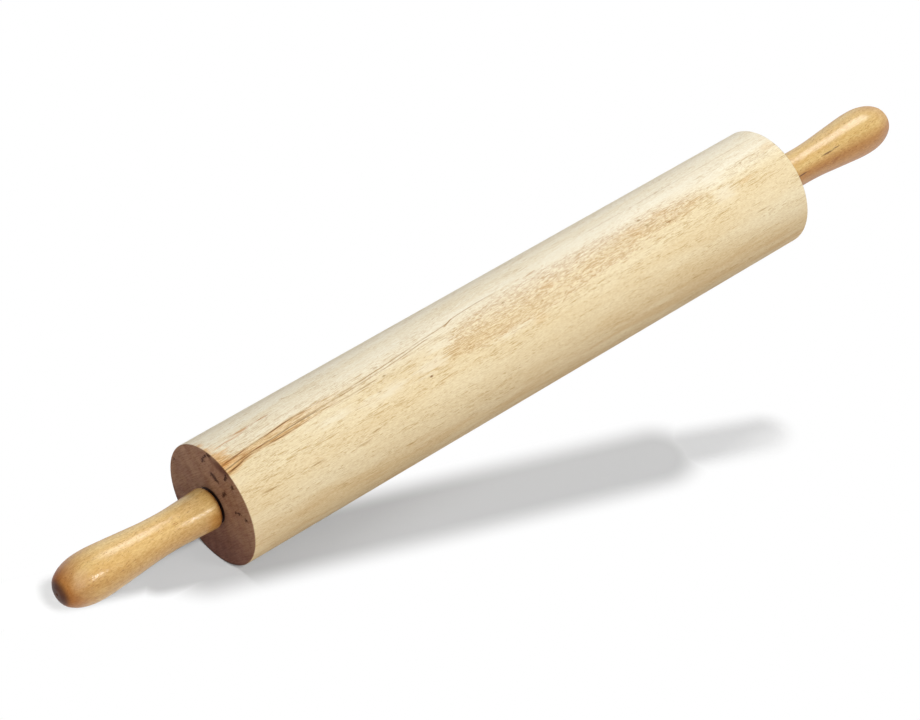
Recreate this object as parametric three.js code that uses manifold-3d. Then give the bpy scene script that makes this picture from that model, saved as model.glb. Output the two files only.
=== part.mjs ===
// A wooden rolling pin: a turned barrel that rolls on two ball bearings, on a steel rod that runs its full
// length and screws into a turned handle at each end.
// Millimetres, +Z up. The pin lies along X on the plane Z = 0, with the origin under its middle.
import * as THREE from "three";
import { mergeVertices } from "three/addons/utils/BufferGeometryUtils.js";
import Module from "manifold-3d";

// Barrel: the roller of pale wood.
const barrelLength = 457.2;
const barrelDiameter = 79.4;
const barrelEdgeRadius = 0.9;

// Handles: turned to one outline, and varnished.
const handleLength = 111;
const handleDiameter = 31.4;
const handleEndEdgeRadius = 4;
const handleTipFlatDiameter = 7.4;
const tipDimpleDiameter = 2;
const tipDimpleDepth = 1.2;

// Each pair is a place along the handle, from its inner end, as a share of handleLength, and the radius
// there as a share of half of handleDiameter. The rounded inner edge comes before the first pair, and the
// tip's flat comes after the last.
const handleOutlineShares = [
  [0.15, 0.798],
  [0.27, 0.76],
  [0.4, 0.784],
  [0.52, 0.855],
  [0.64, 0.93],
  [0.75, 0.988],
  [0.84, 0.97],
  [0.91, 0.855],
  [0.96, 0.67],
  [0.985, 0.48],
];
const handleEndRadiusShare = 0.84;

// Rod: a full-length steel axle with a screw thread on each end.
const rodDiameter = 9.5;
const rodInHandle = 40;
const rodChamfer = 0.8;
const threadLength = 14;
const threadPitch = 1.5875;
const threadDepth = 0.85;
const drillPointDepth = 2.5;

// Bearings: a ring of balls between a pressed cup in the barrel and a cone on the rod.
const ballDiameter = 4;
const ballCount = 8;
const raceAngle = THREE.MathUtils.degToRad(55);
const coneWall = 1.25;
const coneShoulder = 1.6;
const coneEndLand = 0.6;
const cupWall = 0.8;
const retainerWall = 0.8;
const retainerRail = 0.8;

// Dust shields and thrust washers, between the bearings and the handles.
const shieldThickness = 0.8;
const shieldRecess = 0.3;
const thrustWasherWidth = 2.65;

// Clearances: where pieces seat on each other, and where they run past each other.
const seatGap = 0.3;
const ballGap = 0.3;
const barrelBoreGap = 1.6;
const retainerRunningGap = 1.2;
const shieldRunningGap = 0.7;
const handleRunningGap = 0.8;
const freeFaceMargin = 1.6;

// Facets of the turned solids. Every radius is measured across the flats.
const barrelFacets = 60;
const handleFacets = 32;
const ringFacets = 32;
const rodFacets = 16;
const ballFacets = 12;
const pocketFacets = 12;
const edgeArcSteps = 3;
const raceArcSteps = 3;
const handleOutlineSteps = 20;
const samplesPerPitch = 4;

// Sizes that several pieces share. The bearing grows outwards from the rod.
const barrelRadius = barrelDiameter / 2;
const handleRadius = handleDiameter / 2;
const handleEndRadius = handleRadius * handleEndRadiusShare;
const rodRadius = rodDiameter / 2;
const onRodRadius = rodRadius + seatGap;
const ballRadius = ballDiameter / 2;
const raceRadius = ballRadius + ballGap;
const ballCircleRadius = onRodRadius + coneWall + raceRadius;
const cupRadius = ballCircleRadius + raceRadius + cupWall;
const counterboreRadius = cupRadius + seatGap;
const thrustWasherRadius = onRodRadius + thrustWasherWidth;
const retainerHalfWidth = raceRadius + retainerRail;

// Places along the axis, counted outwards from a barrel's end face.
const shieldOuterFace = -shieldRecess;
const shieldInnerFace = shieldOuterFace - shieldThickness;
const ballCentre = shieldInnerFace - retainerRunningGap - retainerHalfWidth;
const cupOuterFace = shieldInnerFace - seatGap;
const cupInnerFace = ballCentre - raceRadius - cupWall;
const counterboreFloor = cupInnerFace - seatGap;
const coneInnerFace = ballCentre - ballRadius - coneEndLand;
const coneOuterFace = ballCentre + raceRadius * Math.sin(raceAngle) + coneShoulder;
const thrustWasherInnerFace = coneOuterFace + seatGap;
const thrustWasherOuterFace = handleRunningGap - seatGap;
const handleInnerFace = handleRunningGap;

const finish = {
  paleWood: { color: 0xe6d3ab, roughness: 0.62, metalness: 0 },
  varnishedWood: { color: 0xd8a25a, roughness: 0.3, metalness: 0 },
  steel: { color: 0xb9bcc0, roughness: 0.28, metalness: 1 },
  blackenedSteel: { color: 0x3a332e, roughness: 0.5, metalness: 1 },
  brass: { color: 0xc8a457, roughness: 0.4, metalness: 1 },
  nylon: { color: 0x2b2724, roughness: 0.5, metalness: 0 },
};

const wasm = await Module();
wasm.setup();

// An indexed geometry with its shared vertices merged and its empty triangles left out.
function closedGeometry(geometry) {
  geometry.deleteAttribute("normal");
  geometry.deleteAttribute("uv");
  const merged = mergeVertices(geometry);
  const corners = merged.index.array;
  const kept = [];
  for (let i = 0; i < corners.length; i += 3) {
    const [a, b, c] = corners.slice(i, i + 3);
    if (a !== b && b !== c && c !== a) kept.push(a, b, c);
  }
  merged.setIndex(kept);
  return merged;
}

function toSolid(geometry) {
  const closed = closedGeometry(geometry);
  return new wasm.Manifold(
    new wasm.Mesh({
      numProp: 3,
      vertProperties: closed.attributes.position.array,
      triVerts: new Uint32Array(closed.index.array),
    }),
  );
}

function toGeometry(solid) {
  const mesh = solid.getMesh();
  const geometry = new THREE.BufferGeometry();
  geometry.setAttribute("position", new THREE.BufferAttribute(mesh.vertProperties, 3));
  geometry.setIndex(new THREE.BufferAttribute(mesh.triVerts, 1));
  return geometry;
}

// A point of a turned outline: a place along X and a radius.
function at(along, radius) {
  return new THREE.Vector2(radius, along);
}

// The points of an arc in an outline. Angles are counted from +X towards larger radii.
function arc(centreAlong, centreRadius, radius, fromAngle, toAngle, steps) {
  const points = [];
  for (let i = 0; i <= steps; i += 1) {
    const angle = THREE.MathUtils.lerp(fromAngle, toAngle, i / steps);
    points.push(at(centreAlong + radius * Math.cos(angle), centreRadius + radius * Math.sin(angle)));
  }
  return points;
}

// Turns an outline about X, with a flat facet on top and one below. An outline that doesn't start and end
// on the axis closes on itself.
function turned(outline, facets) {
  const acrossCorners = 1 / Math.cos(Math.PI / facets);
  const points = outline.map((p) => new THREE.Vector2(p.x * acrossCorners, p.y));
  const onAxis = points[0].x === 0 && points[points.length - 1].x === 0;
  if (!onAxis) points.push(points[0].clone());
  if (THREE.ShapeUtils.area(points) < 0) points.reverse();
  const geometry = new THREE.LatheGeometry(points, facets, Math.PI / facets);
  geometry.rotateZ(-Math.PI / 2);
  return closedGeometry(geometry);
}

function piece(name, geometry, look) {
  const mesh = new THREE.Mesh(geometry, new THREE.MeshStandardMaterial(look));
  mesh.name = name;
  return mesh;
}

function barrelGeometry() {
  const end = barrelLength / 2;
  const edgeFrom = barrelRadius - barrelEdgeRadius;
  // The handle hides the end face inside this ring, and the face outside it is free.
  const freeFaceRadius = handleEndRadius + freeFaceMargin;
  const oneEnd = [
    at(end + counterboreFloor, rodRadius + barrelBoreGap),
    at(end + counterboreFloor, counterboreRadius),
    at(end, counterboreRadius),
    at(end, freeFaceRadius),
    ...arc(end - barrelEdgeRadius, edgeFrom, barrelEdgeRadius, 0, Math.PI / 2, edgeArcSteps),
  ];
  const otherEnd = oneEnd.map((p) => at(-p.y, p.x)).reverse();
  return turned([...oneEnd, ...otherEnd], barrelFacets);
}

// The handle's outline past its rounded inner edge, as points on one smooth curve.
function handleCurvePoints() {
  const through = [
    at(handleInnerFace + handleEndEdgeRadius, handleEndRadius),
    ...handleOutlineShares.map(([along, wide]) =>
      at(handleInnerFace + along * handleLength, wide * handleRadius),
    ),
    at(handleInnerFace + handleLength, handleTipFlatDiameter / 2),
  ];
  return new THREE.SplineCurve(through).getSpacedPoints(handleOutlineSteps);
}

function handleGeometry() {
  const tip = handleInnerFace + handleLength;
  const edge = handleEndEdgeRadius;
  const holeBottom = handleInnerFace + rodInHandle + seatGap;
  const outline = [
    at(holeBottom + drillPointDepth, 0),
    at(holeBottom, onRodRadius),
    at(handleInnerFace, onRodRadius),
    ...arc(handleInnerFace + edge, handleEndRadius - edge, edge, Math.PI, Math.PI / 2, edgeArcSteps),
    ...handleCurvePoints().slice(1),
    at(tip, tipDimpleDiameter / 2),
    at(tip - tipDimpleDepth, 0),
  ];
  return turned(outline, handleFacets);
}

// How deep the thread is cut at a place along the rod, counted from the middle of the rod, where the
// angle round the rod is given as a share of a turn. The thread rises and runs out over one pitch.
function threadCut(along, turnShare, halfLength) {
  const fromEnd = halfLength - rodChamfer - Math.abs(along);
  const fromShank = threadLength - fromEnd;
  const rise = THREE.MathUtils.clamp(Math.min(fromEnd, fromShank) / threadPitch, 0, 1);
  const phase = along / threadPitch - turnShare;
  const wave = Math.abs(2 * (phase - Math.floor(phase)) - 1);
  return threadDepth * rise * wave;
}

// The places of the rings of points along one threaded end, counted from the middle of the rod.
function threadPlaces(halfLength) {
  const threadEnd = halfLength - rodChamfer;
  const count = Math.round((threadLength / threadPitch) * samplesPerPitch);
  const places = [];
  for (let i = 0; i <= count; i += 1) {
    places.push(threadEnd - threadLength * (1 - i / count));
  }
  return places;
}

// The rod as rings of points along X, close together where it is threaded.
function rodGeometry() {
  const halfLength = barrelLength / 2 + handleInnerFace + rodInHandle;
  const places = threadPlaces(halfLength);
  const stations = [-halfLength, ...places.map((x) => -x).reverse(), ...places, halfLength];
  const cornerRadius = rodRadius / Math.cos(Math.PI / rodFacets);
  const positions = [-halfLength, 0, 0];
  stations.forEach((along) => {
    const chamfered = Math.abs(along) === halfLength;
    for (let j = 0; j < rodFacets; j += 1) {
      const angle = (2 * Math.PI * (j + 0.5)) / rodFacets;
      const cut = chamfered ? rodChamfer : threadCut(along, j / rodFacets, halfLength);
      const radius = cornerRadius - cut;
      positions.push(along, radius * Math.sin(angle), radius * Math.cos(angle));
    }
  });
  positions.push(halfLength, 0, 0);

  const corner = (i, j) => 1 + i * rodFacets + (j % rodFacets);
  const lastRing = stations.length - 1;
  const lastPoint = 1 + stations.length * rodFacets;
  const triangles = [];
  for (let j = 0; j < rodFacets; j += 1) {
    triangles.push(0, corner(0, j), corner(0, j + 1));
    triangles.push(lastPoint, corner(lastRing, j + 1), corner(lastRing, j));
    for (let i = 0; i < lastRing; i += 1) {
      triangles.push(corner(i, j), corner(i + 1, j), corner(i + 1, j + 1));
      triangles.push(corner(i, j), corner(i + 1, j + 1), corner(i, j + 1));
    }
  }
  const geometry = new THREE.BufferGeometry();
  geometry.setAttribute("position", new THREE.Float32BufferAttribute(positions, 3));
  geometry.setIndex(triangles);
  return geometry;
}

// The outer race: a pressed cup whose track wraps the balls on their outer and inward side.
function cupGeometry() {
  const start = Math.PI / 2;
  const track = arc(ballCentre, ballCircleRadius, raceRadius, start, start + raceAngle, raceArcSteps);
  const lip = track[track.length - 1];
  const outline = [
    at(cupOuterFace, cupRadius),
    at(cupOuterFace, ballCircleRadius + raceRadius),
    ...track,
    at(cupInnerFace, lip.x),
    at(cupInnerFace, cupRadius),
  ];
  return turned(outline, ringFacets);
}

// The inner race: a cone on the rod whose track wraps the balls on their inner and outward side.
function coneGeometry() {
  const start = -Math.PI / 2;
  const track = arc(ballCentre, ballCircleRadius, raceRadius, start, start + raceAngle, raceArcSteps);
  const shoulder = track[track.length - 1];
  const outline = [
    at(coneInnerFace, onRodRadius),
    at(coneInnerFace, onRodRadius + coneWall),
    ...track,
    at(coneOuterFace, shoulder.x),
    at(coneOuterFace, onRodRadius),
  ];
  return turned(outline, ringFacets);
}

function ballGeometry() {
  return new THREE.SphereGeometry(ballRadius, ballFacets, ballFacets / 2);
}

// The places of the balls' centres, evenly round the ball circle.
function ballPlaces() {
  const places = [];
  for (let i = 0; i < ballCount; i += 1) {
    const angle = (2 * Math.PI * i) / ballCount;
    const y = ballCircleRadius * Math.sin(angle);
    const z = ballCircleRadius * Math.cos(angle);
    places.push(new THREE.Vector3(ballCentre, y, z));
  }
  return places;
}

// A flat ring between two places along the axis.
function flatRing(innerFace, outerFace, holeRadius, rimRadius) {
  const outline = [
    at(innerFace, holeRadius),
    at(outerFace, holeRadius),
    at(outerFace, rimRadius),
    at(innerFace, rimRadius),
  ];
  return turned(outline, ringFacets);
}

// The retainer: a thin ring on the ball circle with a round pocket for each ball.
function retainerGeometry() {
  const innerRadius = ballCircleRadius - retainerWall / 2;
  const outerRadius = ballCircleRadius + retainerWall / 2;
  const from = ballCentre - retainerHalfWidth;
  const to = ballCentre + retainerHalfWidth;
  let ring = toSolid(flatRing(from, to, innerRadius, outerRadius));
  ballPlaces().forEach((place) => {
    const pocket = new THREE.SphereGeometry(raceRadius, pocketFacets, pocketFacets / 2);
    pocket.translate(place.x, place.y, place.z);
    ring = ring.subtract(toSolid(pocket));
  });
  return toGeometry(ring);
}

function shieldGeometry() {
  const holeRadius = thrustWasherRadius + shieldRunningGap;
  return flatRing(shieldInnerFace, shieldOuterFace, holeRadius, cupRadius);
}

function thrustWasherGeometry() {
  return flatRing(thrustWasherInnerFace, thrustWasherOuterFace, onRodRadius, thrustWasherRadius);
}

// Everything at one end of the pin, with X counted outwards from the barrel's end face.
function endPieces(side) {
  const end = new THREE.Group();
  end.add(
    piece(`${side}_handle`, handleGeometry(), finish.varnishedWood),
    piece(`${side}_bearing_cup`, cupGeometry(), finish.blackenedSteel),
    piece(`${side}_bearing_cone`, coneGeometry(), finish.steel),
    piece(`${side}_ball_retainer`, retainerGeometry(), finish.brass),
    piece(`${side}_dust_shield`, shieldGeometry(), finish.blackenedSteel),
    piece(`${side}_thrust_washer`, thrustWasherGeometry(), finish.nylon),
  );
  ballPlaces().forEach((place, i) => {
    const ball = piece(`${side}_ball_${i + 1}`, ballGeometry(), finish.steel);
    ball.position.copy(place);
    end.add(ball);
  });
  return end;
}

const rightEnd = endPieces("right");
rightEnd.position.x = barrelLength / 2;

const leftEnd = endPieces("left");
leftEnd.position.x = -barrelLength / 2;
leftEnd.rotation.z = Math.PI;

const rollingPin = new THREE.Group();
rollingPin.position.z = barrelRadius;
rollingPin.add(
  piece("barrel", barrelGeometry(), finish.paleWood),
  piece("axle_rod", rodGeometry(), finish.steel),
  rightEnd,
  leftEnd,
);

export default rollingPin;
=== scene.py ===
import math

import bmesh
import bpy
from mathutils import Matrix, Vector


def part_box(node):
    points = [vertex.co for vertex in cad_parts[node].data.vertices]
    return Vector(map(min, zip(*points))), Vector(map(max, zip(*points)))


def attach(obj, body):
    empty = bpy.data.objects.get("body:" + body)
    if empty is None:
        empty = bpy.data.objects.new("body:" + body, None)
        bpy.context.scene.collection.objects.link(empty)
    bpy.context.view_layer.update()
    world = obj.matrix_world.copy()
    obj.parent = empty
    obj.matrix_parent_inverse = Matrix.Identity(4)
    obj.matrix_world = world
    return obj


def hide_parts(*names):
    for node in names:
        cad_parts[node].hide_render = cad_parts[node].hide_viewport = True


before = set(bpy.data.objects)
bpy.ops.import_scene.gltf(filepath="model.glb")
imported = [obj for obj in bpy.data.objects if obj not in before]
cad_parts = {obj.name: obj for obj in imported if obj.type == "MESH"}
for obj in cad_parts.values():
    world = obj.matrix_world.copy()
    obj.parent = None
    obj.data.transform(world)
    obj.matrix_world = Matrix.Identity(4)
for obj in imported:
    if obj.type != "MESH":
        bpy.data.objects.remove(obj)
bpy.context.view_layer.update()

# Sizes read from the frame.
MM = 0.001
barrel_low, barrel_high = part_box("barrel")
half_length = barrel_high.x
barrel_radius = (barrel_high.z - barrel_low.z) / 2
axis_height = (barrel_high.z + barrel_low.z) / 2
handle_low, handle_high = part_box("right_handle")
handle_inner_face = handle_low.x - half_length
handle_length = handle_high.x - handle_low.x
# At its widest, the handle's outline below is at this share of handle_radius.
handle_widest_share = 0.99
handle_radius = (handle_high.z - handle_low.z) / 2 / handle_widest_share
rod_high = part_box("axle_rod")[1]
rod_half_length = rod_high.x
rod_radius = rod_high.z - axis_height
cup_low, cup_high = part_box("right_bearing_cup")
cone_low, cone_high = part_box("right_bearing_cone")
retainer_low, retainer_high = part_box("right_ball_retainer")
shield_low, shield_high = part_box("right_dust_shield")
washer_low, washer_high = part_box("right_thrust_washer")
ball_low, ball_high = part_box("right_ball_1")

# Sizes that no box gives.
barrel_edge_radius = 0.9 * MM
barrel_bore_gap = 1.6 * MM
seat_gap = 0.3 * MM
ball_gap = 0.3 * MM
cup_wall = 0.8 * MM
cone_wall = 1.25 * MM
retainer_wall = 0.8 * MM
shield_hole_gap = 0.7 * MM
race_angle = math.radians(55)
thread_length = 14 * MM
thread_pitch = 1.5875 * MM
thread_depth = 0.85 * MM
rod_chamfer = 0.8 * MM
rod_in_handle = rod_half_length - half_length - handle_inner_face
drill_point_depth = 2.5 * MM
handle_edge_radius = 4 * MM
tip_flat_radius = 3.7 * MM
tip_dimple_radius = 1 * MM
tip_dimple_depth = 1.2 * MM
broken_edge = 0.1 * MM
ball_count = 8

# The handle's outline: places as shares of its length, radii as shares of handle_radius.
handle_end_radius_share = 0.84
handle_outline_shares = [
    (0.15, 0.798),
    (0.27, 0.76),
    (0.4, 0.784),
    (0.52, 0.855),
    (0.64, 0.93),
    (0.75, 0.988),
    (0.84, 0.97),
    (0.91, 0.855),
    (0.96, 0.67),
    (0.985, 0.48),
]

# Sizes that follow from those above.
ball_centre = (ball_low.x + ball_high.x) / 2 - half_length
ball_radius = (ball_high.x - ball_low.x) / 2
race_radius = ball_radius + ball_gap
on_rod_radius = rod_radius + seat_gap
ball_circle_radius = on_rod_radius + cone_wall + race_radius
cup_radius = ball_circle_radius + race_radius + cup_wall
counterbore_radius = cup_radius + seat_gap
counterbore_floor = cup_low.x - half_length - seat_gap
washer_radius = washer_high.z - axis_height
tip_place = half_length + handle_inner_face + handle_length


# Camera: the photograph's own view, a long lens from the near left end.
def place_camera():
    """azimuth and elevation are the direction from aim to the camera."""
    azimuth = math.radians(-41.655)
    elevation = math.radians(40.41)
    aim = Vector((-25.9, 10.6, 29.4)) * MM
    distance = 2.128
    data = bpy.data.cameras.new("camera")
    data.lens = 135.28
    data.sensor_width = 36
    data.clip_end = 50
    camera = bpy.data.objects.new("camera", data)
    back = Vector((
        math.sin(azimuth) * math.cos(elevation),
        -math.cos(azimuth) * math.cos(elevation),
        math.sin(elevation),
    ))
    camera.location = aim + back * distance
    camera.rotation_euler = (math.pi / 2 - elevation, 0, azimuth)
    bpy.context.scene.collection.objects.link(camera)
    bpy.context.scene.camera = camera


# Node trees.
class Net:
    """Short calls that add a node to a tree and return its output socket."""

    def __init__(self, tree):
        self.tree = tree
        tree.nodes.clear()

    def node(self, kind, inputs=(), **settings):
        made = self.tree.nodes.new("ShaderNode" + kind)
        for key, value in settings.items():
            setattr(made, key, value)
        for key, value in dict(inputs).items():
            self.feed(made.inputs[key], value)
        return made

    def feed(self, socket, value):
        if isinstance(value, bpy.types.NodeSocket):
            self.tree.links.new(value, socket)
        elif isinstance(value, tuple) and len(value) == 3 and socket.type == "RGBA":
            socket.default_value = (*value, 1)
        else:
            socket.default_value = value

    def math(self, operation, a, b=0.0, c=0.0):
        return self.node("Math", {0: a, 1: b, 2: c}, operation=operation).outputs[0]

    def vector(self, operation, a, b=(0.0, 0.0, 0.0)):
        made = self.node("VectorMath", {0: a, 1: b}, operation=operation)
        return made.outputs["Value" if operation in ("LENGTH", "DOT_PRODUCT") else "Vector"]

    def scaled(self, vector, by):
        return self.node("VectorMath", {0: vector, "Scale": by}, operation="SCALE").outputs[0]

    def stretch(self, vector, x, y, z):
        """The vector in cells of x by y by z."""
        return self.vector("MULTIPLY", vector, (1 / x, 1 / y, 1 / z))

    def stretch_flat(self, vector, x, y):
        """The vector laid flat, in cells of x by y."""
        return self.vector("MULTIPLY", vector, (1 / x, 1 / y, 0))

    def fade(self, value, start, end, low=0.0, high=1.0):
        """Goes smoothly from low to high as value goes from start to end."""
        inputs = {"Value": value, "From Min": start, "From Max": end, "To Min": low, "To Max": high}
        return self.node("MapRange", inputs, interpolation_type="SMOOTHSTEP").outputs[0]

    def noise(self, vector, detail, roughness=0.5, distortion=0.0):
        inputs = {"Vector": vector, "Scale": 1.0, "Detail": detail}
        inputs |= {"Roughness": roughness, "Distortion": distortion}
        return self.node("TexNoise", inputs)

    def grain(self, vector, detail, roughness=0.5, distortion=0.0):
        return self.noise(vector, detail, roughness, distortion).outputs["Fac"]

    def cells(self, vector):
        return self.node("TexVoronoi", {"Vector": vector, "Scale": 1.0}, voronoi_dimensions="3D")

    def mix(self, share, a, b, blend_type="MIX"):
        made = self.node("Mix", {"Factor": share}, data_type="RGBA", blend_type=blend_type)
        self.feed(made.inputs[6], a)
        self.feed(made.inputs[7], b)
        return made.outputs[2]

    def curve(self, value, points):
        """A smooth curve through points, held level past its ends."""
        xs, ys = zip(*points)
        low, high = min(ys), max(ys)
        share = self.node("MapRange", {"Value": value, "From Min": xs[0], "From Max": xs[-1]}).outputs[0]
        made = self.node("FloatCurve", {"Value": share})
        line = made.mapping.curves[0]
        shares = [((x - xs[0]) / (xs[-1] - xs[0]), (y - low) / (high - low)) for x, y in points]
        line.points[0].location = shares[0]
        line.points[1].location = shares[-1]
        for place in shares[1:-1]:
            line.points.new(*place)
        made.mapping.update()
        return self.math("MULTIPLY_ADD", made.outputs[0], high - low, low)

    def from_run(self, here, start, end):
        """How far a flat place is from the straight run between two points."""
        run = Vector(end) - Vector(start)
        away = self.vector("SUBTRACT", here, (*start, 0))
        share = self.math("DIVIDE", self.vector("DOT_PRODUCT", away, (*run, 0)), run.length_squared)
        share = self.node("Clamp", {0: share}).outputs[0]
        return self.vector("LENGTH", self.vector("SUBTRACT", away, self.scaled((*run, 0), share)))

    def from_centre(self, here, centre, half_size):
        """How far a flat place is from centre, where 1 is on the ellipse of these half sizes."""
        away = self.vector("SUBTRACT", here, (*centre, 0))
        return self.vector("LENGTH", self.stretch_flat(away, *half_size))

    def most(self, masks):
        """The strongest of several masks at each point."""
        strongest = masks[0]
        for mask in masks[1:]:
            strongest = self.math("MAXIMUM", strongest, mask)
        return strongest

    def seen(self):
        """1 for what the camera sees, straight on or mirrored, and 0 for light that falls on the pin."""
        sight = self.node("LightPath").outputs
        return self.most([sight[f"Is {kind} Ray"] for kind in ("Camera", "Glossy", "Transmission")])

    def bump(self, height, distance, strength, normal=None):
        made = self.node("Bump", {"Height": height, "Distance": distance, "Strength": strength})
        if normal is not None:
            self.feed(made.inputs["Normal"], normal)
        return made.outputs[0]


class Finish(Net):
    """A material of one Principled shader. Places are in millimetres from the axle's middle."""

    def __init__(self, name):
        self.material = bpy.data.materials.new(name)
        self.material.use_nodes = True
        super().__init__(self.material.node_tree)
        self.shader = self.node("BsdfPrincipled")
        output = self.node("OutputMaterial")
        self.tree.links.new(self.shader.outputs[0], output.inputs[0])
        middle = self.vector("SUBTRACT", self.node("TexCoord").outputs["Object"], (0, 0, axis_height))
        self.place = self.vector("MULTIPLY", middle, (1 / MM, 1 / MM, 1 / MM))
        parts = self.node("SeparateXYZ", {0: self.place})
        self.x, self.y, self.z = parts.outputs
        self.radius = self.vector("LENGTH", self.vector("MULTIPLY", self.place, (0, 1, 1)))
        # Degrees round the axis: 0 on top, 90 on the camera's side.
        turn = self.math("ARCTAN2", self.math("MULTIPLY", self.y, -1), self.z)
        self.angle = self.math("DEGREES", turn)

    def set(self, **inputs):
        """Feeds the shader and returns the material."""
        for key, value in inputs.items():
            self.feed(self.shader.inputs[key.replace("_", " ")], value)
        return self.material

    def fibres(self, tilt_y, tilt_z, wave):
        """Coordinates whose X runs along the wood's fibres, which have a slight tilt and a slow wave."""
        straight = self.vector("SUBTRACT", self.place, self.scaled((0, tilt_y, tilt_z), self.x))
        slow = self.noise(self.stretch(straight, 70, 26, 26), 2.0).outputs["Color"]
        shift = self.vector("MULTIPLY", self.vector("SUBTRACT", slow, (0.5, 0.5, 0.5)), (0, wave, wave))
        return self.vector("ADD", straight, shift)

    def rings(self, fibres, pith_y, pith_z, spacing):
        """How far a point lies from the tree's middle, in growth rings, and each ring's own tone."""
        across = self.vector("MULTIPLY", self.vector("SUBTRACT", fibres, (0, pith_y, pith_z)), (0, 1, 1))
        count = self.math("DIVIDE", self.vector("LENGTH", across), spacing)
        along = self.math("DIVIDE", self.x, 300)
        return self.grain(self.node("CombineXYZ", {0: count, 1: along}).outputs[0], 3.0, 0.6)

    def facing(self, angle):
        """How far a place lies towards an angle round the axis: 1 there, -1 on the other side."""
        towards = (0, -math.sin(math.radians(angle)), math.cos(math.radians(angle)))
        return self.math("DIVIDE", self.vector("DOT_PRODUCT", self.place, towards), self.radius)

    def dashes(self, fibres, length, width, more=0.0):
        """Ragged dashes along the fibres. more, up to 0.1 either way, sets how many there are."""
        level = self.grain(self.stretch(fibres, length, width, width), 1.0, 0.5, 0.12)
        return self.fade(self.math("ADD", level, more), 0.60, 0.69)

    def spot(self, centre, half_size, soft, uneven=0.0):
        """A soft spot round the axis. centre and half_size are in (millimetres along, degrees round)."""
        flat = self.node("CombineXYZ", {0: self.x, 1: self.angle}).outputs[0]
        far = self.from_centre(flat, centre, half_size)
        return self.fade(self.math("ADD", far, uneven), 1 - soft, 1.0, 1.0, 0.0)

    def on_end(self):
        """A place on an end face: millimetres towards the camera's side and up, from the axis."""
        return self.node("CombineXYZ", {0: self.math("MULTIPLY", self.y, -1), 1: self.z}).outputs[0]

    def spot_on_end(self, centre, half_size, uneven):
        """A soft spot on an end face."""
        far = self.from_centre(self.on_end(), centre, half_size)
        return self.fade(self.math("ADD", far, self.math("SUBTRACT", uneven, 0.5)), 0.2, 1.0, 1.0, 0.0)

    def line(self, path, start_width, end_width, start_fade, end_fade, wander=0.0):
        """A line through path, a list of (millimetres along, degrees round). It fades in and out, and
        its half width goes from one value to another, in degrees."""
        middle = self.curve(self.x, path)
        if wander:
            slow = self.grain(self.stretch(self.place, 14, 400, 400), 2.0)
            middle = self.math("MULTIPLY_ADD", self.math("SUBTRACT", slow, 0.5), wander, middle)
        away = self.math("ABSOLUTE", self.math("SUBTRACT", self.angle, middle))
        half_width = self.fade(self.x, path[0][0], path[-1][0], start_width, end_width)
        inside = self.fade(self.math("DIVIDE", away, half_width), 0.0, 1.0, 1.0, 0.0)
        starts = self.fade(self.x, path[0][0] - start_fade, path[0][0])
        ends = self.fade(self.x, path[-1][0], path[-1][0] + end_fade, 1.0, 0.0)
        return self.math("MULTIPLY", self.math("MULTIPLY", inside, starts), ends)

    def tint(self, colour, share, by):
        """colour multiplied by the colour by, as far as share says."""
        return self.mix(share, colour, by, "MULTIPLY")


# Places on the barrel's side: (millimetres along from the middle, degrees round from the top).
upper_streak = [(-228, 16.0), (-216, 14.5), (-207, 12.8), (-192, 11.6), (-175, 9.6), (-162, 8.8)]
lower_streak = [(-228, 25.3), (-218, 22.6), (-212, 20.8), (-204, 19.8), (-187, 20.1), (-164, 19.0)]
middle_streak = [(-228, 21.5), (-208, 18.6), (-190, 17.2), (-165, 15.6)]
# How dark the two streaks are: (millimetres along, share).
upper_strength_share = [
    (-228, 0.4), (-221, 0.9), (-212, 0.8), (-205, 0.35),
    (-196, 0.5), (-190, 1.0), (-176, 0.9), (-162, 0.35),
]
lower_strength_share = [
    (-228, 0.8), (-219, 1.0), (-210, 0.6), (-198, 0.45),
    (-186, 0.9), (-176, 0.5), (-164, 0.3),
]
tan_threads = [
    [(-168, 14.6), (-140, 14.2), (-114, 13.3), (-94, 11.6), (-78, 9.4), (-68, 7.8)],
    [(-150, 17.6), (-132, 18.4), (-116, 17.8)],
]
long_thread = [
    (-130, 12.0), (-100, 9.4), (-72, 6.2), (-52, 4.3),
    (-47, 3.2), (-43, 1.8), (-35, 0.8), (-22, 0.0),
]
dark_stroke = [(-51, 5.2), (-48, 3.8), (-45, 2.2)]
grey_thread = [(80, -9.4), (150, -9.8), (215, -10.6)]
pin_knot = (-80.4, 39.6)
# Patches, dashes and dots: (along, round), (half length, half breadth).
pale_patches = [
    ((-150, 29), (24, 6)),
    ((-112, 32), (30, 8)),
    ((-78, 31), (26, 8)),
    ((-62, 20), (22, 7)),
    ((-14, 41), (24, 4.5)),
    ((60, -3), (70, 7)),
    ((145, 0), (50, 7)),
    ((170, 12), (13, 12)),
    ((172, 28), (13, 13)),
]
brown_patches = [
    ((96, 14.5), (14, 6)),
    ((101, 22), (8, 4)),
    ((122, 14), (10, 5)),
    ((152, 20), (12, 4)),
    ((6, 43), (8, 8)),
    ((24, 21), (8, 5)),
    ((190, 27), (9, 4)),
    ((220, 8), (10, 6)),
]
pore_zone_top = [(-85, 30), (-50, 14), (-25, 6), (20, 2), (105, 5), (160, 10)]
pore_zone_bottom = [(-85, 32), (-60, 38), (-10, 41), (70, 37), (120, 30), (160, 24)]
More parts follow.
